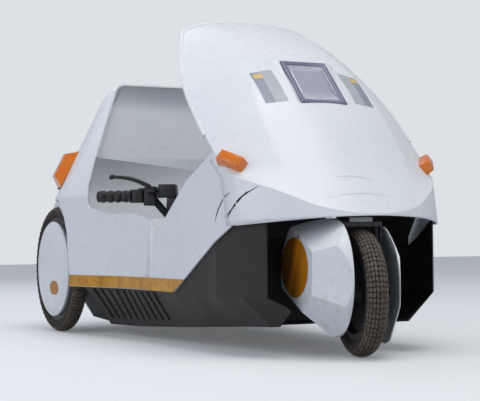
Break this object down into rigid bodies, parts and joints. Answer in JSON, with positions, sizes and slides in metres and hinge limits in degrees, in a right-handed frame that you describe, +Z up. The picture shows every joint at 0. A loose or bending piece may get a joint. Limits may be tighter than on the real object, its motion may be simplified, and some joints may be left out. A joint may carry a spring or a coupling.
{
  "type": "electric tricycle",
  "caption": "Low single-seat electric pedal tricycle: moulded white body with tall bonnet and open cockpit over a black tub, faired steered front wheel, disc-covered rear wheels, boot lid",
  "frame": {"origin": "On the floor at the middle of the bounding box", "axes": "+X to the vehicle's left, +Y to its rear (the front faces -Y), +Z up"},
  "size_m": [0.792, 1.7371, 0.9282],
  "materials": {
    "white_plastic": "gloss",
    "black_plastic": "satin",
    "amber_tape": "gloss",
    "lamp_frame": "gloss",
    "clear_lens": "gloss",
    "orange_lens": "gloss",
    "red_lens": "gloss",
    "black_steel": "satin",
    "bare_steel": "satin",
    "motor_alloy": "satin",
    "wheel_plastic": "satin",
    "tyre_rubber": "matte",
    "grip_rubber": "matte"
  },
  "bodies": {
    "frame": {"upper_shell": "white_plastic", "lower_tub": "black_plastic", "wheel_liner": "black_plastic", "waist_stripe": "amber_tape", "headlamp_frame": "lamp_frame", "headlamp_lens": "clear_lens", "front_pads": "black_plastic", "front_indicators": "orange_lens", "rear_pads": "black_plastic", "rear_indicators": "orange_lens", "tail_lamp": "red_lens", "chassis": "black_steel", "battery": "black_plastic", "motor_unit": "motor_alloy", "boot_tray": "black_plastic"},
    "lid": {"boot_lid": "white_plastic"},
    "steering": {"fork": "black_steel", "front_caliper": "bare_steel", "fork_cover_right": "white_plastic", "fork_cover_left": "white_plastic"},
    "front_wheel": {"front_tyre": "tyre_rubber", "front_rim": "wheel_plastic"},
    "rear_wheel_right": {"rear_tyre_right": "tyre_rubber", "rear_rim_right": "wheel_plastic", "rear_cover_right": "white_plastic"},
    "rear_wheel_left": {"rear_tyre_left": "tyre_rubber", "rear_rim_left": "wheel_plastic", "rear_cover_left": "white_plastic"},
    "bars": {"handlebar": "black_steel", "grips": "grip_rubber", "switch_boxes": "black_plastic", "brake_levers": "motor_alloy"},
    "link": {"drag_link": "bare_steel"},
    "crankset": {"crank": "bare_steel"},
    "right_pedal": {"pedal_right": "black_plastic"},
    "left_pedal": {"pedal_left": "black_plastic"}
  },
  "joints": [
    {"name": "steering_turn", "type": "hinge", "parent": "frame", "child": "steering", "pos_m": [0, -0.653, 0.372], "axis": [0, 0, 1], "range_deg": [-14, 42]},
    {"name": "front_wheel_spin", "type": "hinge", "parent": "steering", "child": "front_wheel", "pos_m": [-0.01452, -0.71122, 0.1585], "axis": [0.9703, -0.2419, 0], "continuous": true},
    {"name": "rear_wheel_right_spin", "type": "hinge", "parent": "frame", "child": "rear_wheel_right", "pos_m": [-0.345, 0.591, 0.203], "axis": [1, 0, 0], "continuous": true},
    {"name": "rear_wheel_left_spin", "type": "hinge", "parent": "frame", "child": "rear_wheel_left", "pos_m": [0.345, 0.591, 0.203], "axis": [1, 0, 0], "continuous": true},
    {"name": "handlebar_turn", "type": "hinge", "parent": "frame", "child": "bars", "pos_m": [0, 0.037, 0.32], "axis": [0, 0, 1], "range_deg": [-14, 42]},
    {"name": "drag_link_pivot", "type": "hinge", "parent": "bars", "child": "link", "pos_m": [0.03493, 0.02829, 0.344], "axis": [0, 0, 1], "range_deg": [-42, 14]},
    {"name": "crank_spin", "type": "hinge", "parent": "frame", "child": "crankset", "pos_m": [0, -0.283, 0.285], "axis": [1, 0, 0], "continuous": true},
    {"name": "pedal_right_spin", "type": "hinge", "parent": "crankset", "child": "right_pedal", "pos_m": [-0.115, -0.413, 0.285], "axis": [1, 0, 0], "continuous": true},
    {"name": "pedal_left_spin", "type": "hinge", "parent": "crankset", "child": "left_pedal", "pos_m": [0.115, -0.153, 0.285], "axis": [1, 0, 0], "continuous": true},
    {"name": "boot_lid_hinge", "type": "hinge", "parent": "frame", "child": "lid", "pos_m": [0, 0.425, 0.794], "axis": [1, 0, 0], "range_deg": [0, 70]}
  ],
  "couplings": [
    {"joint": "handlebar_turn", "follows": "steering_turn", "ratio": 1},
    {"joint": "drag_link_pivot", "follows": "steering_turn", "ratio": -1}
  ]
}
